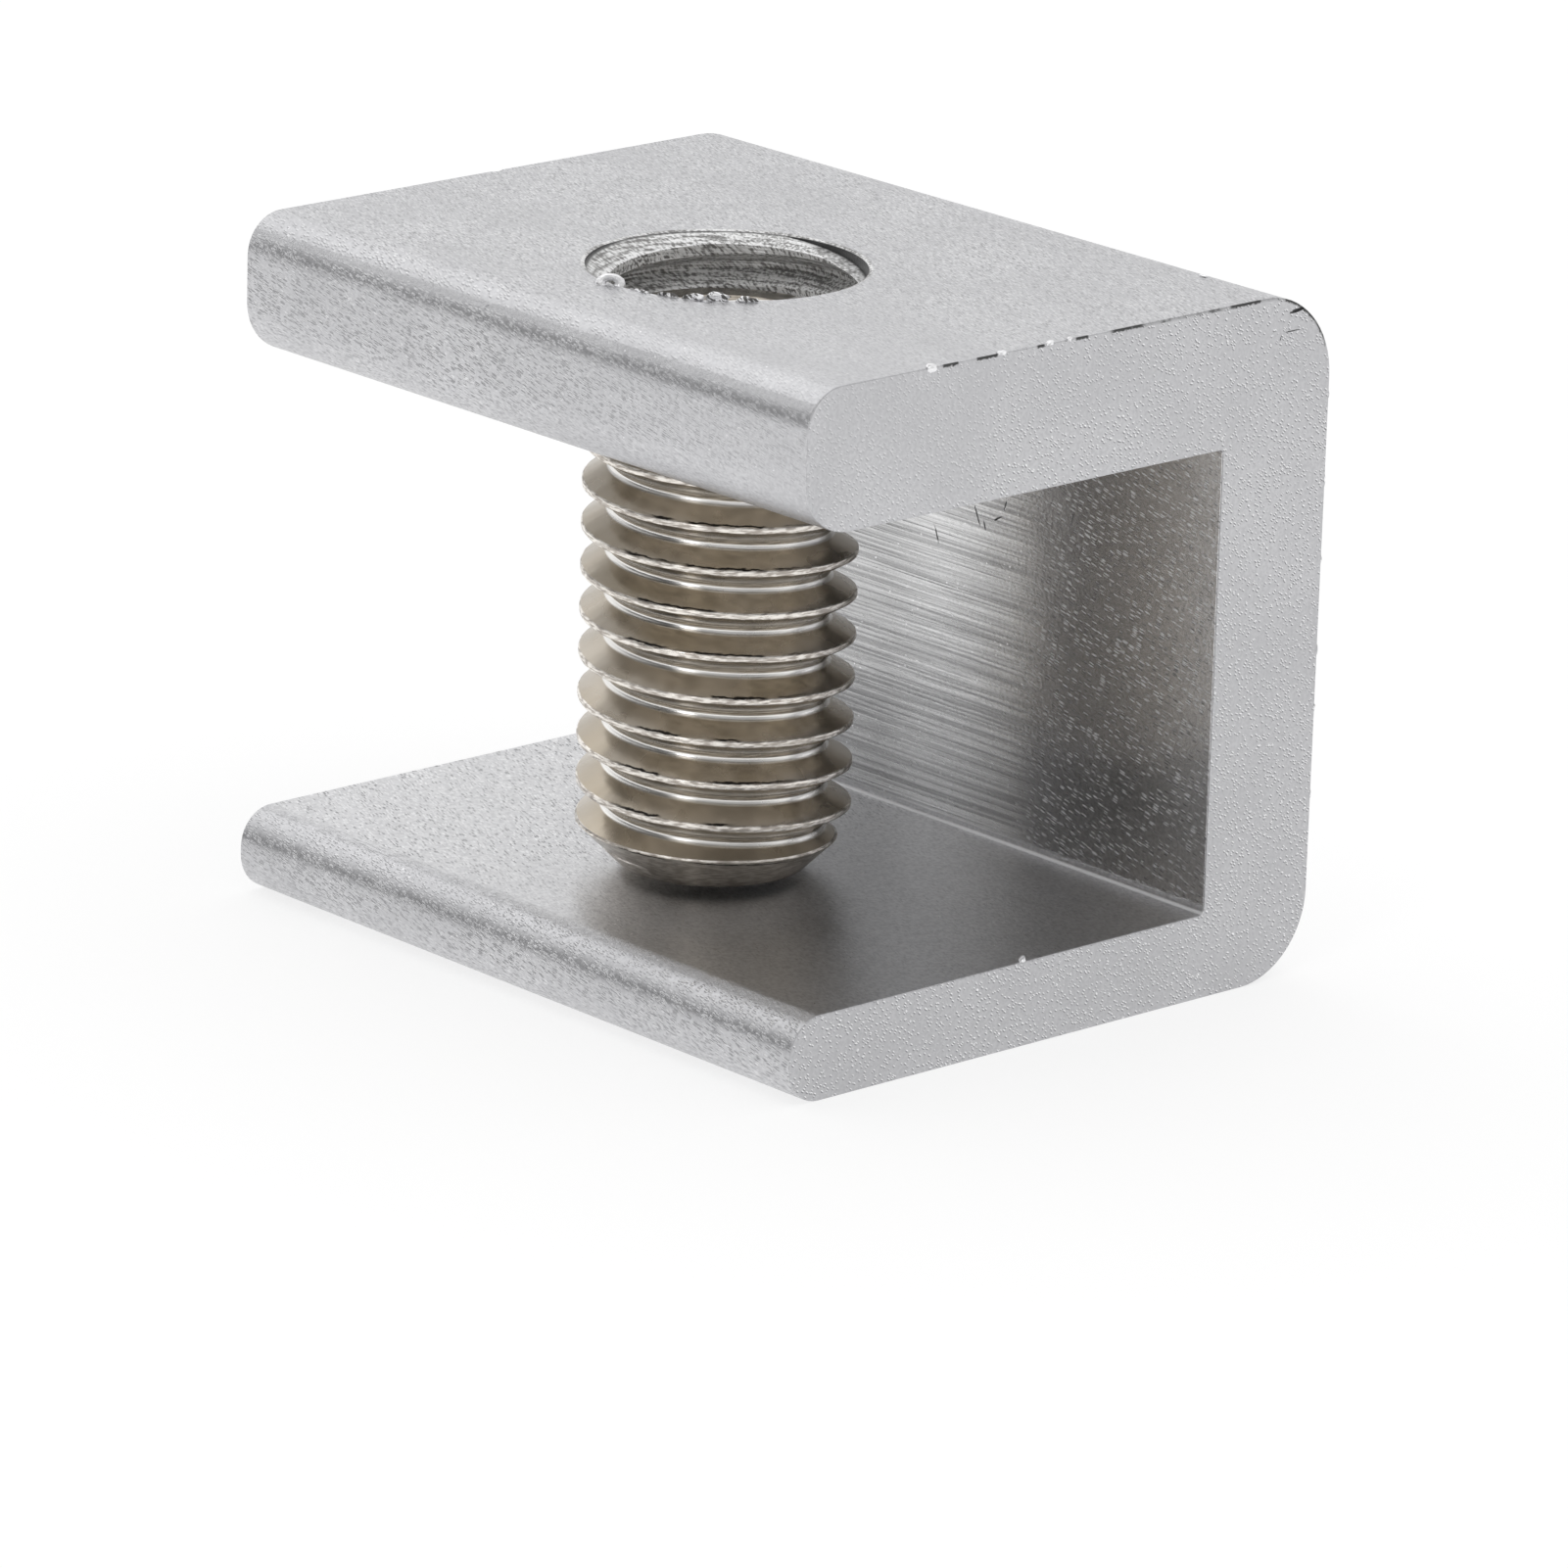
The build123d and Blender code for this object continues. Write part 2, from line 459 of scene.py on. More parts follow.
class Wire:
    """An output of a shader node. Arithmetic on it adds Math nodes to the same node tree."""

    def __init__(self, tree, socket=None):
        self.tree = tree
        self.socket = socket

    def node(self, kind, settings=None, inputs=None, output=0):
        """Add a node, set it up, fill or link its inputs, and return one or more of its outputs.

        The setting named stops holds the places and colours of a colour ramp.
        """
        made = self.tree.nodes.new(kind)
        for name, value in (settings or {}).items():
            if name == "stops":
                ramp = made.color_ramp
                ramp.elements[0].position, ramp.elements[0].color = value[0]
                ramp.elements[1].position, ramp.elements[1].color = value[-1]
                for place, colour in value[1:-1]:
                    ramp.elements.new(place).color = colour
            else:
                setattr(made, name, value)
        for name, value in (inputs or {}).items():
            if isinstance(value, Wire):
                self.tree.links.new(value.socket, made.inputs[name])
            else:
                made.inputs[name].default_value = value
        if isinstance(output, tuple):
            return [Wire(self.tree, made.outputs[name]) for name in output]
        return Wire(self.tree, made.outputs[output] if made.outputs else None)

    def math(self, operation, *numbers):
        """A Math node on these numbers."""
        return self.node("ShaderNodeMath", {"operation": operation}, dict(enumerate(numbers)))

    def __add__(self, other):
        return self.math("ADD", self, other)

    def __radd__(self, other):
        return self.math("ADD", other, self)

    def __sub__(self, other):
        return self.math("SUBTRACT", self, other)

    def __rsub__(self, other):
        return self.math("SUBTRACT", other, self)

    def __mul__(self, other):
        return self.math("MULTIPLY", self, other)

    def __rmul__(self, other):
        return self.math("MULTIPLY", other, self)

    def __truediv__(self, other):
        return self.math("DIVIDE", self, other)

    def __pow__(self, other):
        return self.math("POWER", self, other)

    def __mod__(self, other):
        return self.math("FLOORED_MODULO", self, other)

    def __abs__(self):
        return self.math("ABSOLUTE", self)

    def ramp(self, low, high, to_low=0.0, to_high=1.0):
        """A smooth step of this value from low to high, and no further."""
        return self.node(
            "ShaderNodeMapRange",
            {"interpolation_type": "SMOOTHSTEP"},
            {
                "Value": self,
                "From Min": low,
                "From Max": high,
                "To Min": to_low,
                "To Max": to_high,
            },
        )

    def mix(self, colour_a, colour_b):
        """The first colour where this value is 0 and the second where it is 1."""
        return self.node(
            "ShaderNodeMix",
            {"data_type": "RGBA"},
            {"Factor": self, 6: colour_a, 7: colour_b},
            output=2,
        )

    def choose(self, place_a, place_b):
        """The first coordinates where this value is 0 and the second where it is 1."""
        return self.node(
            "ShaderNodeMix",
            {"data_type": "VECTOR"},
            {"Factor": self, 4: place_a, 5: place_b},
            output=1,
        )

    def cells(self, scale=1.0):
        """Distance from scattered points, and a random number for the nearest point."""
        distance, colour = self.node(
            "ShaderNodeTexVoronoi",
            {"feature": "F1"},
            {"Vector": self, "Scale": scale},
            output=("Distance", "Color"),
        )
        number = self.node("ShaderNodeSeparateColor", None, {"Color": colour}, output="Red")
        return distance, number

    def stretched(self, direction, length, width):
        """Coordinates for a pattern of this length along a direction, and this width across it."""
        along = Vector(direction).normalized()
        side = along.orthogonal().normalized()
        up = along.cross(side)
        parts = [
            self.node(
                "ShaderNodeVectorMath",
                {"operation": "DOT_PRODUCT"},
                {0: self, 1: axis / size},
                output="Value",
            )
            for axis, size in ((along, length), (side, width), (up, width))
        ]
        return self.node("ShaderNodeCombineXYZ", None, dict(enumerate(parts)))

    def noise(self, detail=2.0, roughness=0.5, scale=1.0):
        """Smooth noise from 0 to 1 at these coordinates."""
        return self.node(
            "ShaderNodeTexNoise",
            None,
            {"Vector": self, "Scale": scale, "Detail": detail, "Roughness": roughness},
            output="Fac",
        )

    def bump(self, strength, distance, normal=None):
        """A bumped normal with this value as height, on top of another bump if one is given."""
        inputs = {"Height": self, "Strength": strength, "Distance": distance}
        if normal:
            inputs["Normal"] = normal
        return self.node("ShaderNodeBump", None, inputs)


def new_material(name):
    """An empty node material, and a wire to start its nodes from."""
    material = bpy.data.materials.new(name)
    material.use_nodes = True
    material.node_tree.nodes.clear()
    return material, Wire(material.node_tree)


# Millimetres along Y: where painted shade lies under the saw's burr on the upper edge of an end
dark_dashes = [(-5.05, -4.40), (-3.80, -2.95), (-1.55, -1.20), (-0.10, 0.45), (1.20, 9.7)]

# Length and width of the blasted dashes on each kind of face
side_dash = (0.00026, 0.000045)
level_dash = (0.00026, 0.00006)
sawn_dash = (0.00016, 0.00005)

# Both ends of the soft edges in the hole: the groove under its last turn, where shade is painted,
# and the ridge's tip, where a highlight is painted
groove_wall = (0.00388, 0.00398)
groove_top = (0.020275, 0.020255)
groove_bottom = (0.0196, 0.0197)
ridge_tip_wall = (0.00346, 0.00340)

anodised_dull = (0.63, 0.63, 0.645, 1)
anodised_pale = (0.68, 0.68, 0.695, 1)
flange_painted_light = (0.80, 0.80, 0.81, 1)
web_painted_light = (0.92, 0.92, 0.93, 1)
grain_grey = (0.50, 0.50, 0.515, 1)
die_line_dark = (0.44, 0.44, 0.44, 1)
die_line_pale = (0.92, 0.92, 0.92, 1)
pit_painted_shade = (0.22, 0.22, 0.23, 1)
pit_painted_glint = (0.96, 0.96, 0.97, 1)
cut_dark = (0.22, 0.215, 0.21, 1)
cut_bright_and_highlight = (0.98, 0.98, 0.98, 1)
torn_dark = (0.16, 0.155, 0.15, 1)
bare_metal_and_highlight = (0.97, 0.97, 0.98, 1)
groove_painted_shade = (0.07, 0.07, 0.07, 1)
knock_painted_shade = (0.06, 0.06, 0.06, 1)
saw_burr_painted_shade = (0.08, 0.08, 0.08, 1)
black = (0, 0, 0, 1)


def blasted_aluminium():
    """Clear anodised aluminium: short pits outside, drawn lines and pits with painted glints in the
    throat.
    """
    material, start = new_material("blasted_aluminium")
    place = start.node("ShaderNodeTexCoord", output="Object")
    x, y, z = start.node("ShaderNodeSeparateXYZ", None, {"Vector": place}, output=("X", "Y", "Z"))

    sawn = abs(x).ramp(clamp_high.x - 0.000012, clamp_high.x - 0.000004)
    in_throat = (
        y.ramp(clamp_low.y + 0.0006, clamp_low.y + 0.0012)
        * z.ramp(lower_flange - 0.0002, lower_flange - 0.00005)
        * z.ramp(throat_top + 0.0002, throat_top + 0.00005)
        * y.ramp(throat_end + 0.0002, throat_end + 0.00005)
        * (1 - sawn)
    )
    on_web = in_throat * z.ramp(lower_flange + 0.0001, lower_flange + 0.0003)
    from_axis = ((x - hole_x) ** 2 + (y - hole_y) ** 2) ** 0.5
    in_hole = from_axis.ramp(upper_mouth_radius + 0.00004, upper_mouth_radius - 0.00002)
    in_hole = in_hole * z.ramp(throat_top - 0.0001, throat_top)
    groove = in_hole * from_axis.ramp(*groove_wall) * z.ramp(*groove_top)
    groove = groove * z.ramp(*groove_bottom)
    crease = y.ramp(throat_end - 0.00011, throat_end - 0.00006)
    crease = crease * z.ramp(lower_flange + 0.00011, lower_flange + 0.00006) * in_throat

    near_corner = place.node(
        "ShaderNodeVectorMath",
        {"operation": "DISTANCE"},
        {0: place, 1: (clamp_high.x, clamp_low.y, clamp_high.z)},
        output="Value",
    )
    cloud = place.noise(scale=350, detail=2)
    strength = near_corner.ramp(0.002, 0.014, 0.35, 1.0) * cloud.ramp(0.30, 0.70, 0.7, 1.2)
    on_flange = in_throat - on_web
    strength = strength * (1 - on_flange * x.ramp(-0.006, 0.002, 0.0, 0.75))
    level = start.math("MAXIMUM", on_flange, z.ramp(clamp_high.z - 0.0006, clamp_high.z - 0.0004))

    def dashes(shift):
        """Short dashes that lie in each face and fall to the right, moved a little."""
        moved = place.node(
            "ShaderNodeVectorMath", {"operation": "ADD"}, {0: place, 1: shift}, output="Vector"
        )
        on_side = moved.stretched((1, 0, -0.26), *side_dash)
        on_level = moved.stretched((1, -0.345, 0), *level_dash)
        on_end = moved.stretched((0, 0.8, -0.6), *sawn_dash)
        distance, kind = sawn.choose(level.choose(on_side, on_level), on_end).cells()
        shown = (kind - in_throat * 0.25 - on_web * 0.15 - sawn * 0.1).ramp(0.30, 0.40)
        return (distance + sawn * 0.12).ramp(0.52, 0.30) * shown

    light_dash = dashes((0, 0, 0))
    dark_dash = dashes((0, 0.000021, 0.000028)) * (1 - light_dash)
    grain = place.noise(scale=9000, detail=2)
    die_lines = place.stretched((1, 0, 0), 0.012, 0.00008).noise(detail=3, roughness=0.6)
    lined = on_web * x.ramp(0.0055, 0.0035)
    waves = place.stretched((1, 0, 0), 0.004, 0.0016).noise(detail=1)
    cut_lines = place.stretched((0, 0, 1), 0.00005, 0.0012).noise(detail=2)
    chatter = place.stretched((0.5, 0.5, -0.7), 0.00030, 0.00008).noise(detail=2)
    cut = cut_lines * 0.5 + chatter * 0.5
    # Specks that take a painted glint
    specks, speck_kind = place.cells(4200)
    speck = specks.ramp(0.15, 0.07) * (speck_kind + on_web * 0.15).ramp(0.80, 0.82) * (1 - in_hole)
    strength = strength * (0.58 + sawn * 0.92 + in_throat * 0.42 - on_web * 0.2)
    pits = strength * (1 - lined * 0.8) * (1 - in_hole)

    colour = cloud.ramp(0.3, 0.7).mix(anodised_dull, anodised_pale)
    # Painted light: the lower flange inside the throat is made lighter
    colour = (on_flange * 0.8).mix(colour, flange_painted_light)
    # Painted light: the web is made lighter towards its right end
    colour = (on_web * x.ramp(0.005, 0.008) * 0.5).mix(colour, web_painted_light)
    colour = (grain.ramp(0.3, 0.7) * 0.55).mix(colour, grain_grey)
    # Painted shade on the sawn ends, deeper towards the bottom
    colour = (sawn * z.ramp(0.003, 0.016, 0.15, 0.10)).mix(colour, black)
    lines = die_lines.ramp(0.36, 0.64).mix(die_line_dark, die_line_pale)
    colour = (lined * 0.8).mix(colour, lines)
    shade = x.ramp(0.0010, 0.0035, 0.0, 0.15) * x.ramp(0.0075, 0.0050)
    shade = on_web * (shade + x.ramp(0.0005, -0.0020, 0.0, 0.20))
    colour = shade.mix(colour, black)
    # Painted glints and painted shade: each pit gets a bright dash and a dark dash just below it,
    # as if lit from above
    colour = (dark_dash * pits * 0.9).mix(colour, pit_painted_shade)
    colour = (light_dash * pits * 0.8).mix(colour, pit_painted_glint)
    colour = in_hole.mix(colour, cut.ramp(0.40, 0.60).mix(cut_dark, cut_bright_and_highlight))
    # Painted highlight along the tip of the ridge in the hole
    ridge_tip = in_hole * from_axis.ramp(*ridge_tip_wall) * chatter.ramp(0.40, 0.60)
    colour = ridge_tip.mix(colour, cut_bright_and_highlight)
    # Painted shade in the groove under the hole's last turn
    colour = groove.mix(colour, groove_painted_shade)
    # Painted shade inside the knocks and scratches cut into the web and the near end
    web_knock_recess = y.ramp(throat_end + 0.000003, throat_end + 0.000012) * in_throat
    end_knock_recess = (
        x.ramp(clamp_high.x - 0.00012, clamp_high.x - 0.0001)
        * x.ramp(clamp_high.x - 0.000008, clamp_high.x - 0.000016)
        * z.ramp(clamp_high.z - 0.0003, clamp_high.z - 0.0004)
        * y.ramp(clamp_high.y - 0.0006, clamp_high.y - 0.0007)
        * y.ramp(clamp_high.y - 0.0024, clamp_high.y - 0.0023)
    )
    knock = start.math("MAXIMUM", web_knock_recess, end_knock_recess)
    colour = (knock * 0.8).mix(colour, knock_painted_shade)
    # Painted highlight along the crease between web and lower flange, and painted glints at the
    # specks
    colour = start.math("MAXIMUM", crease, speck).mix(colour, bare_metal_and_highlight)

    past_back = start.math("MAXIMUM", y - (clamp_high.y - back_top_radius), 0.0)
    past_top = start.math("MAXIMUM", z - (clamp_high.z - back_top_radius), 0.0)
    from_outline = back_top_radius - (past_back**2 + past_top**2) ** 0.5 + (grain - 0.5) * 0.00014
    saw_line = abs(x).ramp(clamp_high.x - 0.00004, clamp_high.x - 0.00002)
    saw_line = saw_line * from_outline.ramp(0.00011, 0.00006)
    dark = sum(
        y.ramp(low / 1000, low / 1000 + 0.00008) * y.ramp(high / 1000, high / 1000 - 0.00008)
        for low, high in dark_dashes
    )
    broken = place.noise(scale=1800, detail=2).ramp(0.38, 0.55, 0.25, 1.0)
    broken = y.ramp(0.0008, 0.0014).mix((1, 1, 1, 1), broken)
    # Painted shade in dashes under the saw's burr along the upper edge of an end
    colour = (saw_line * dark * broken).mix(colour, saw_burr_painted_shade)
    past_end = abs(x).ramp(clamp_high.x + 0.000004, clamp_high.x + 0.000012)
    past_flange = z.ramp(clamp_high.z + 0.000004, clamp_high.z + 0.000012)
    proud = start.math("MAXIMUM", past_end, past_flange)
    torn = chatter.ramp(0.44, 0.50).mix(torn_dark, bare_metal_and_highlight)
    near_rim = from_axis.ramp(upper_mouth_radius + 0.0003, upper_mouth_radius + 0.0002)
    near_rim = near_rim * x.ramp(0.0005, 0.001)
    colour = proud.mix(colour, near_rim.mix(bare_metal_and_highlight, torn))

    scatter = light_dash * pits * on_web * 0.30 + crease * in_throat * 0.35
    roughness = 0.37 - on_web * 0.11 - on_flange * 0.03 - in_hole * 0.07 + scatter - speck * 0.12
    metallic = 1 - in_hole * 0.7

    normal = waves.bump(0.6, 0.00006)
    relief = (light_dash - dark_dash) * pits * (1 - in_throat * 0.7 - sawn * 0.6) * 2 + grain
    relief = relief + die_lines * lined * 4 + cut * in_hole * 6
    normal = relief.bump(0.5, 0.000012, normal)
    shader = start.node(
        "ShaderNodeBsdfPrincipled",
        None,
        {"Base Color": colour, "Metallic": metallic, "Roughness": roughness, "Normal": normal},
    )
    start.node("ShaderNodeOutputMaterial", None, {"Surface": shader})
    return material


clamp.data.materials.clear()
clamp.data.materials.append(blasted_aluminium())
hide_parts("clamp_body")
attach(clamp, "clamp")


# The grub screw: an M8 x 1.25 steel screw, 16 mm long, with a rolled thread, a flat point and a
# hexagon socket in its top. Nickel plated, so its flanks are smooth and warm. The crests are a
# little ragged, with wear and a painted highlight on them; the roots carry a painted highlight, and
# the lower flanks, the point's cone and a broken line just above each crest carry painted shade.

thread_radius = 0.00395
crest_flat = pitch / 8
crest_rounding = 0.00003
root_rounding = 0.00018
crest_wear = 0.00003
point_radius = 0.00275
top_face_radius = 0.0032
socket_across_flats = 0.004
socket_depth = 0.005
socket_mouth_radius = 0.0024


def thread_line():
    """One pitch of the screw's profile, from the middle of a crest to the middle of the next."""
    half_crest = crest_flat / 2
    sharp_depth = (pitch / 2 - half_crest) / tan(flank_angle)
    root_centre = thread_radius - sharp_depth + root_rounding / sin(flank_angle)
    corner = Vector((thread_radius, 0, half_crest))
    on_crest = corner - Vector((0, 0, crest_rounding))
    on_flank = corner + crest_rounding * Vector((-cos(flank_angle), 0, sin(flank_angle)))
    between = (on_crest + 2 * corner + on_flank) / 4
    lower_half = [Vector((thread_radius, 0, 0)), on_crest, between, on_flank]
    arc_half_angle = pi / 2 - flank_angle
    arc_steps = 6
    for step in range(arc_steps + 1):
        angle = -arc_half_angle + 2 * arc_half_angle * step / arc_steps
        lower_half.append(
            Vector(
                (
                    root_centre - root_rounding * cos(angle),
                    0,
                    pitch / 2 + root_rounding * sin(angle),
                )
            )
        )
    upper_end = [Vector((p.x, 0, pitch - p.z)) for p in (on_flank, between, on_crest)]
    return [tuple(p) for p in lower_half + upper_end + [Vector((thread_radius, 0, pitch))]]


def threaded_rod():
    """An over-long rod with the full thread."""
    start = first_crest - 3 * pitch
    turns = 1 + int((screw_high.z - start) / pitch) + 1
    rod = drawn_line("nickel_grub_screw", thread_line())
    wind_thread(rod, 1, turns, start)
    pick(rod, "edges", lambda middle, edge: len(edge.link_faces) == 1 and middle.z < pitch * 2)
    bpy.ops.mesh.extrude_region_move()
    bpy.ops.mesh.merge(type="CENTER")
    pick(rod, "edges", lambda middle, edge: len(edge.link_faces) == 1)
    bpy.ops.mesh.extrude_region_move()
    bpy.ops.mesh.merge(type="CENTER")
    pick(rod, "faces", lambda middle, face: True)
    bpy.ops.mesh.normals_make_consistent(inside=False)
    pick(rod, "verts", lambda middle, vertex: middle.xy.length > thread_radius - crest_rounding)
    rod.vertex_groups.new(name="crest")
    bpy.ops.object.vertex_group_assign()
    bpy.ops.object.mode_set(mode="OBJECT")
    rolling_marks = bpy.data.textures.new("rolling_marks", "CLOUDS")
    rolling_marks.noise_scale = 0.0004
    rolling_marks.cloud_type = "COLOR"
    ragged = rod.modifiers.new("ragged", "DISPLACE")
    ragged.texture = rolling_marks
    ragged.vertex_group = "crest"
    ragged.direction = "RGB_TO_XYZ"
    ragged.mid_level = 0.5
    ragged.strength = crest_wear
    bpy.ops.object.modifier_apply(modifier=ragged.name)
    rod.vertex_groups.clear()
    put_in_place(rod)
    return rod


def screw_outline():
    """What both ends are turned down to: a chamfer to the point and one to the top face."""
    clear_of_crests = 0.0003
    wide = thread_radius + clear_of_crests
    low_chamfer = wide - point_radius
    high_chamfer = wide - top_face_radius
    outline = new_cylinder(
        "outline", wide, screw_low.z + low_chamfer, screw_high.z - high_chamfer, hole_x, hole_y, 144
    )
    ends = ((-1, low_chamfer, point_radius), (1, high_chamfer, top_face_radius))
    for up, chamfer, radius in ends:
        pick(outline, "faces", lambda middle, face: face.normal.z * up > 0.5)
        bpy.ops.mesh.extrude_region_move(TRANSFORM_OT_translate={"value": (0, 0, up * chamfer)})
        share = radius / wide
        bpy.ops.transform.resize(value=(share, share, 1), center_override=(hole_x, hole_y, 0))
    bpy.ops.object.mode_set(mode="OBJECT")
    return outline


def hexagon_broach():
    """The hexagon of the socket over the cone that its drill leaves."""
    above = 0.001
    cone_depth = 0.0012
    corner_radius = socket_across_flats / 2 / cos(pi / 6)
    floor = screw_high.z - socket_depth
    broach = new_cylinder("broach", corner_radius, floor, screw_high.z + above, hole_x, hole_y, 6)
    pick(broach, "faces", lambda middle, face: face.normal.z < -0.5)
    bpy.ops.mesh.extrude_region_move(TRANSFORM_OT_translate={"value": (0, 0, -cone_depth)})
    bpy.ops.mesh.merge(type="CENTER")
    bpy.ops.object.mode_set(mode="OBJECT")
    return broach


def socket_countersink():
    """The small countersink at the socket's mouth."""
    above = 0.0005
    tip_radius = 0.0001
    bottom = screw_high.z - socket_mouth_radius + tip_radius
    sink = new_cylinder("sink", tip_radius, bottom, screw_high.z + above, hole_x, hole_y)
    pick(sink, "verts", lambda middle, vertex: middle.z > screw_high.z)
    wide = (socket_mouth_radius + above) / tip_radius
    bpy.ops.transform.resize(value=(wide, wide, 1), center_override=(hole_x, hole_y, 0))
    bpy.ops.object.mode_set(mode="OBJECT")
    return sink


nickel_brown = (0.43, 0.375, 0.295, 1)
nickel_pale = (0.56, 0.505, 0.43, 1)
scuff_dark = (0.42, 0.38, 0.34, 1)
scuff_bright_and_highlight = (0.92, 0.88, 0.82, 1)
shaded_streak_dark = (0.26, 0.235, 0.20, 1)
shaded_streak_light = (0.46, 0.42, 0.365, 1)
root_painted_highlight = (0.86, 0.845, 0.82, 1)
cone_painted_shade = (0.38, 0.35, 0.31, 1)
crest_line_painted_shade = (0.03, 0.027, 0.025, 1)


def nickel_plate():
    """Bright nickel: brownish flanks, crest wear, painted highlights on crests and roots, and
    painted shade.
    """
    material, start = new_material("nickel_plate")
    place = start.node("ShaderNodeTexCoord", output="Object")
    x, y, z = start.node("ShaderNodeSeparateXYZ", None, {"Vector": place}, output=("X", "Y", "Z"))
    from_axis = ((x - hole_x) ** 2 + (y - hole_y) ** 2) ** 0.5
    round_axis = start.math("ARCTAN2", y - hole_y, x - hole_x) / (2 * pi)
    ragged = place.stretched((0, 0, 1), 0.00010, 0.00030).noise(detail=3) - 0.5
    above_crest = (((z - first_crest) / pitch + round_axis + 0.5) % 1.0 - 0.5) * pitch
    on_crest = from_axis.ramp(thread_radius - 0.00006, thread_radius - 0.00002)
    past_cone = from_axis - point_radius - (z - screw_low.z)
    on_cone = past_cone.ramp(-0.000008, -0.000003)
    # The chamfer's top edge, where a painted highlight line goes
    cone_edge = past_cone.ramp(-0.00016, -0.00012) * (1 - on_cone)
    pale = start.math("MAXIMUM", on_crest, cone_edge)
    under_crest = above_crest.ramp(-0.00007, -0.00010) * (1 - on_cone)
    root = above_crest.ramp(0.00046, 0.00050)
    # A broken line just above each crest, on one side of the screw, where shade is painted
    crest_line_place = above_crest + ragged * 0.00010
    crest_shade_line = crest_line_place.ramp(0.00008, 0.00010) * crest_line_place.ramp(0.00014, 0.00012)
    crest_shade_line = crest_shade_line * place.noise(scale=500, detail=2).ramp(0.46, 0.52)
    crest_shade_line = crest_shade_line * round_axis.ramp(-0.26, -0.22) * round_axis.ramp(0.02, -0.06)

    scuffs = place.stretched((0, 0, 1), 0.00006, 0.00035).noise(detail=3)
    streaks = place.stretched((0, 0, 1), 0.00003, 0.0006).noise(detail=3)
    grain = place.noise(scale=7000, detail=2)
    cloud = place.noise(scale=450, detail=3)
    colour = cloud.ramp(0.3, 0.7).mix(nickel_brown, nickel_pale)
    wear_and_highlight = scuffs.ramp(0.38, 0.62).mix(scuff_dark, scuff_bright_and_highlight)
    lined = streaks.ramp(0.40, 0.60).mix(shaded_streak_dark, shaded_streak_light)
    # Painted shade on the lower flank under each crest, streaked along the screw
    colour = under_crest.mix(colour, lined)
    # Painted highlight along the thread's root
    colour = root.mix(colour, root_painted_highlight)
    colour = on_cone.mix(colour, wear_and_highlight)
    # Painted shade on the point's cone, which faces down
    colour = (on_cone * 0.6).mix(colour, cone_painted_shade)
    # Crests: real wear, also made bright as a painted highlight; the chamfer's top edge: painted
    # highlight
    colour = pale.mix(colour, wear_and_highlight)
    # Painted shade in the broken line above each crest
    colour = crest_shade_line.mix(colour, crest_line_painted_shade)
    roughness = 0.22 + cloud.ramp(0.3, 0.7) * 0.09 + pale * 0.03 + on_cone * 0.08
    normal = past_cone.ramp(-0.00003, -0.00015).bump(1.0, 0.00009)
    normal = (streaks * 0.6 + grain * 0.12 + scuffs * pale * 2).bump(0.35, 0.000006, normal)
    shader = start.node(
        "ShaderNodeBsdfPrincipled",
        None,
        {"Base Color": colour, "Metallic": 1.0, "Roughness": roughness, "Normal": normal},
    )
    start.node("ShaderNodeOutputMaterial", None, {"Surface": shader})
    return material


screw = threaded_rod()
apply_boolean(screw, screw_outline(), "INTERSECT")
apply_boolean(screw, hexagon_broach(), "DIFFERENCE")
apply_boolean(screw, socket_countersink(), "DIFFERENCE")
smooth_under(screw, radians(28))
screw.data.materials.clear()
screw.data.materials.append(nickel_plate())
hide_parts("grub_screw")
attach(screw, "screw")


# The studio: a white table in a room that is bright to the left, behind and overhead, and dim in
# front, with one narrow lamp at the left. The camera stands where the photograph's stood.

table_size = 3.0
paper_white = (0.9, 0.9, 0.9, 1)
paper_share = 0.38
table_glow = 1.16

lamp_place = (0.14, -0.38, 0.12)
lamp_aim = (0, 0, 0.01)
lamp_size = (0.09, 0.2)
lamp_watts = 0.20

# Headings in degrees from +X towards +Y, each with how bright the room is there
room_at_table_height = [
    (0, 0.25), (40, 1.00), (90, 0.82), (135, 0.78), (180, 1.05), (204, 0.75), (220, 0.05),
    (285, 0.05), (315, 0.60), (345, 0.40), (360, 0.25),
]
room_half_way_up = [
    (0, 0.50), (45, 0.58), (90, 0.80), (135, 1.00), (180, 1.28), (225, 0.92), (262, 0.05),
    (315, 0.32), (360, 0.50),
]
room_overhead = 1.12
room_strength = 2.0
table_height_ends = radians(10)
half_way_up = radians(35)
overhead_starts = radians(65)


def table_top():
    """A table that the camera and the metal see as plain white with the lock's shadow on it."""
    material, start = new_material("white_table")
    camera_ray, glossy_ray, transmission_ray = (
        start.node("ShaderNodeLightPath", output=f"Is {kind} Ray")
        for kind in ("Camera", "Glossy", "Transmission")
    )
    seen = start.math("MAXIMUM", camera_ray, glossy_ray)
    seen = start.math("MAXIMUM", seen, transmission_ray)
    paper = start.node("ShaderNodeBsdfDiffuse", None, {"Color": paper_white})
    glow = start.node("ShaderNodeEmission", None, {"Color": (1, 1, 1, 1), "Strength": table_glow})
    shown = start.node("ShaderNodeMixShader", None, {0: paper_share, 1: glow, 2: paper})
    shader = start.node("ShaderNodeMixShader", None, {0: seen, 1: paper, 2: shown})
    start.node("ShaderNodeOutputMaterial", None, {"Surface": shader})
    return material


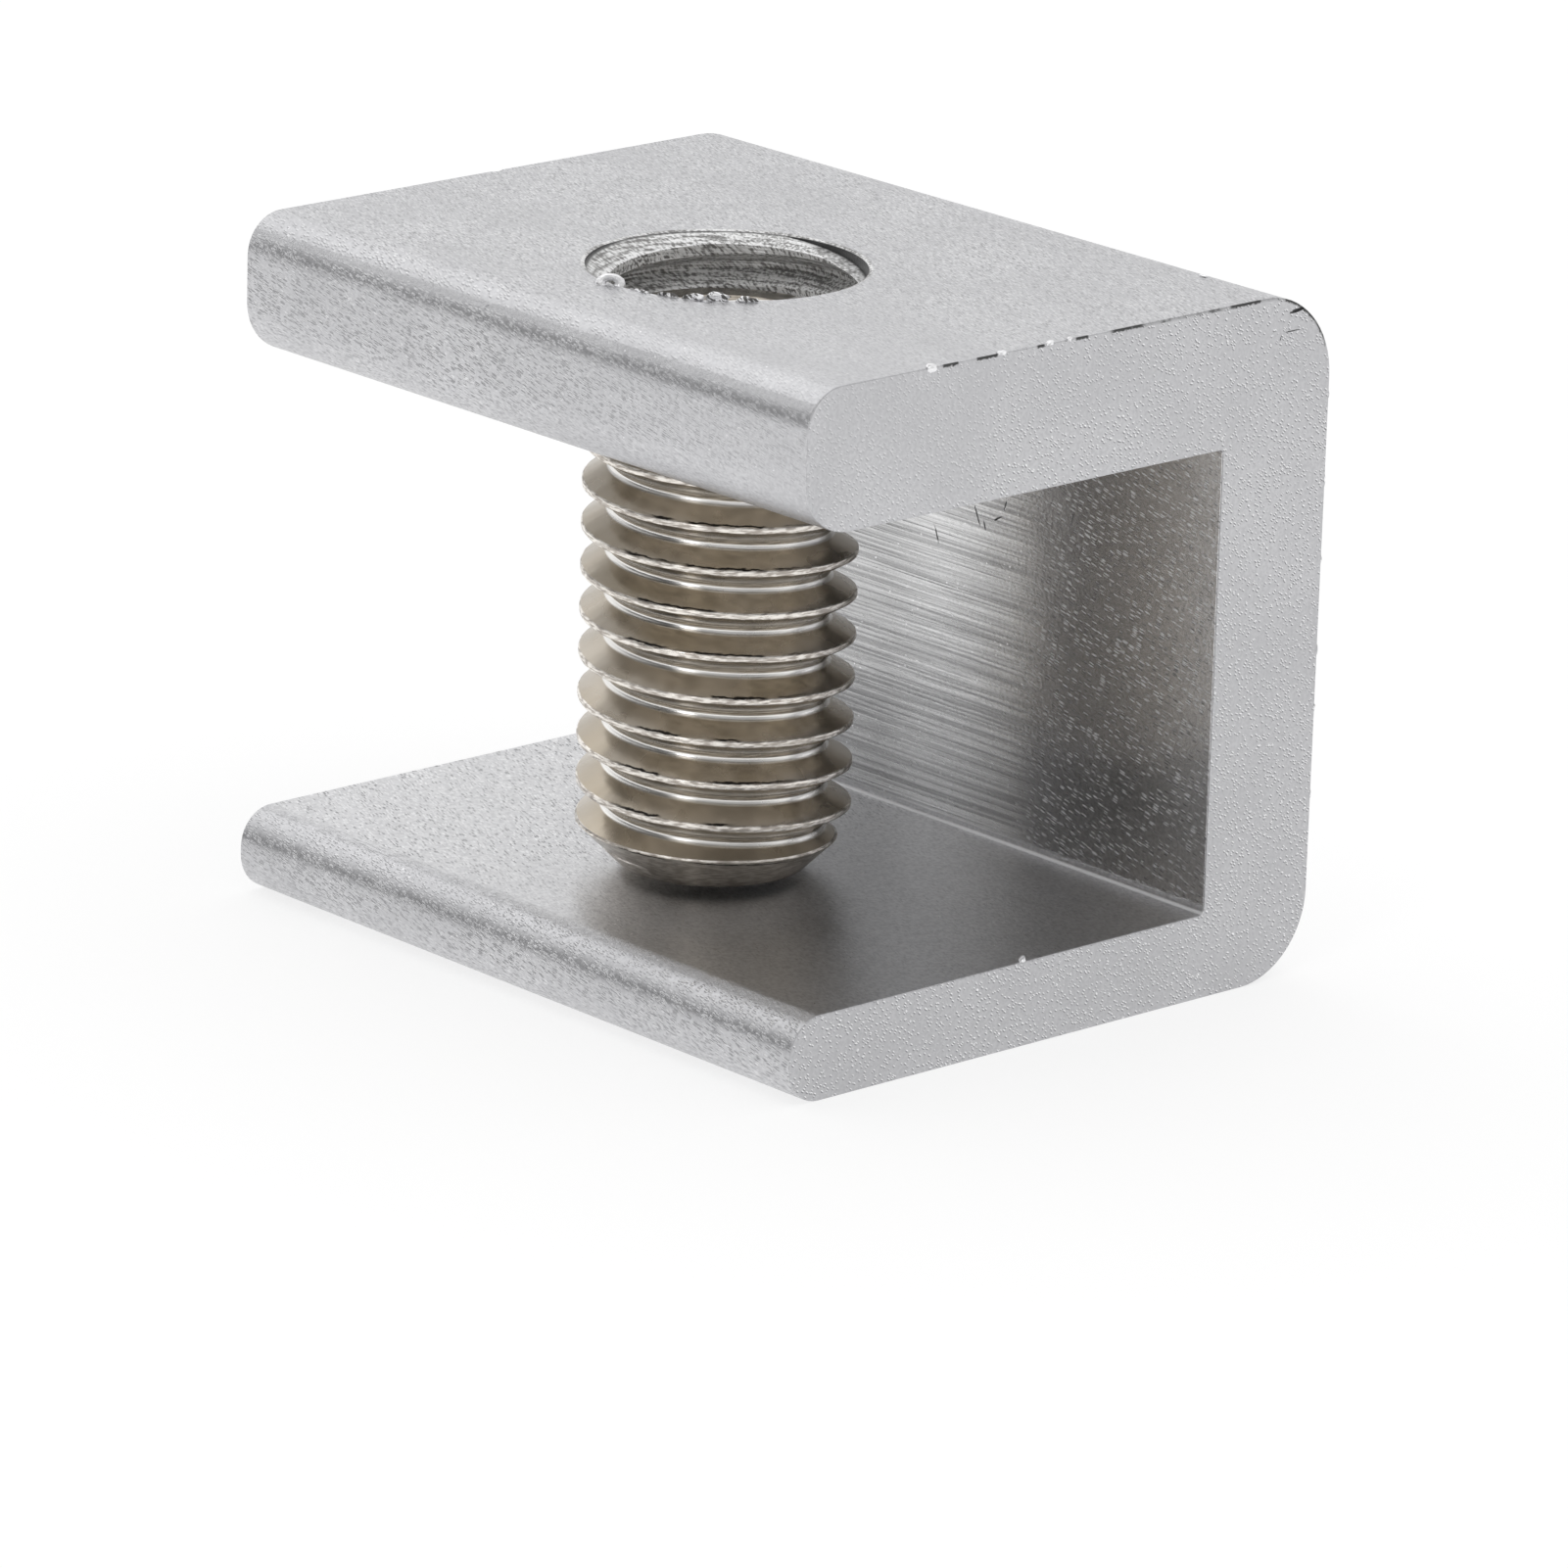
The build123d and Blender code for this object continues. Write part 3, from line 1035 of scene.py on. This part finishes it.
def strip_light(name, place, aim, width, height, watts):
    """A narrow upright area light at a place, turned to face a point."""
    deselect_everything()
    bpy.ops.object.light_add(type="AREA", location=place)
    light = bpy.context.object
    light.name = name
    light.data.shape = "RECTANGLE"
    light.data.size = width
    light.data.size_y = height
    light.data.energy = watts
    light.rotation_euler = (Vector(aim) - Vector(place)).to_track_quat("-Z", "Y").to_euler()


def grey(level):
    """The room's colour where it is this bright."""
    share = level / room_strength
    return share, share, share, 1


deselect_everything()
bpy.ops.mesh.primitive_plane_add(size=table_size, location=(0, 0, clamp_low.z))
table = bpy.context.object
table.name = "table_top"
table.data.materials.append(table_top())

strip_light("lamp_left_of_camera", lamp_place, lamp_aim, *lamp_size, lamp_watts)

room = bpy.data.worlds.new("room")
bpy.context.scene.world = room
room.use_nodes = True
room.node_tree.nodes.clear()
sky = Wire(room.node_tree)
heading = sky.node("ShaderNodeTexCoord", output="Generated")
east, north, up = (
    sky.node("ShaderNodeSeparateXYZ", None, {"Vector": heading}, output=axis) for axis in "XYZ"
)
turn = sky.math("WRAP", sky.math("ARCTAN2", north, east) / (2 * pi), 1.0, 0.0)
rings = [
    turn.node(
        "ShaderNodeValToRGB",
        {"stops": [(degree / 360, grey(level)) for degree, level in ring]},
        {"Fac": turn},
    )
    for ring in (room_at_table_height, room_half_way_up)
]
elevation = sky.math("ARCSINE", up)
half_way = sky.node(
    "ShaderNodeMapRange",
    None,
    {"Value": elevation, "From Min": table_height_ends, "From Max": half_way_up},
)
overhead = sky.node(
    "ShaderNodeMapRange",
    None,
    {"Value": elevation, "From Min": half_way_up, "From Max": overhead_starts},
)
light_in_room = overhead.mix(half_way.mix(*rings), grey(room_overhead))
backdrop = sky.node(
    "ShaderNodeBackground", None, {"Color": light_in_room, "Strength": room_strength}
)
sky.node("ShaderNodeOutputWorld", None, {"Surface": backdrop})

# Worked out from the straight edges of the lock in the photograph
camera_place = Vector((0.194542, -0.175848, 0.086260))
camera_azimuth = radians(47.8088)
camera_elevation = radians(17.3224)
camera_roll = radians(1.6555)
focal_pixels = 9745.24
photo_width = 1601
sensor_width = 36.0

backwards = Vector(
    (
        sin(camera_azimuth) * cos(camera_elevation),
        -cos(camera_azimuth) * cos(camera_elevation),
        sin(camera_elevation),
    )
)
level_right = Vector((cos(camera_azimuth), sin(camera_azimuth), 0))
level_up = backwards.cross(level_right)
right = cos(camera_roll) * level_right + sin(camera_roll) * level_up
upwards = cos(camera_roll) * level_up - sin(camera_roll) * level_right
deselect_everything()
bpy.ops.object.camera_add()
camera = bpy.context.object
camera.data.sensor_width = sensor_width
camera.data.lens = focal_pixels * sensor_width / photo_width
camera.data.clip_start = 0.01
camera.data.clip_end = 10
turned = Matrix((right, upwards, backwards)).transposed().to_4x4()
camera.matrix_world = Matrix.Translation(camera_place) @ turned
bpy.context.scene.camera = camera
bpy.context.scene.view_settings.view_transform = "Standard"
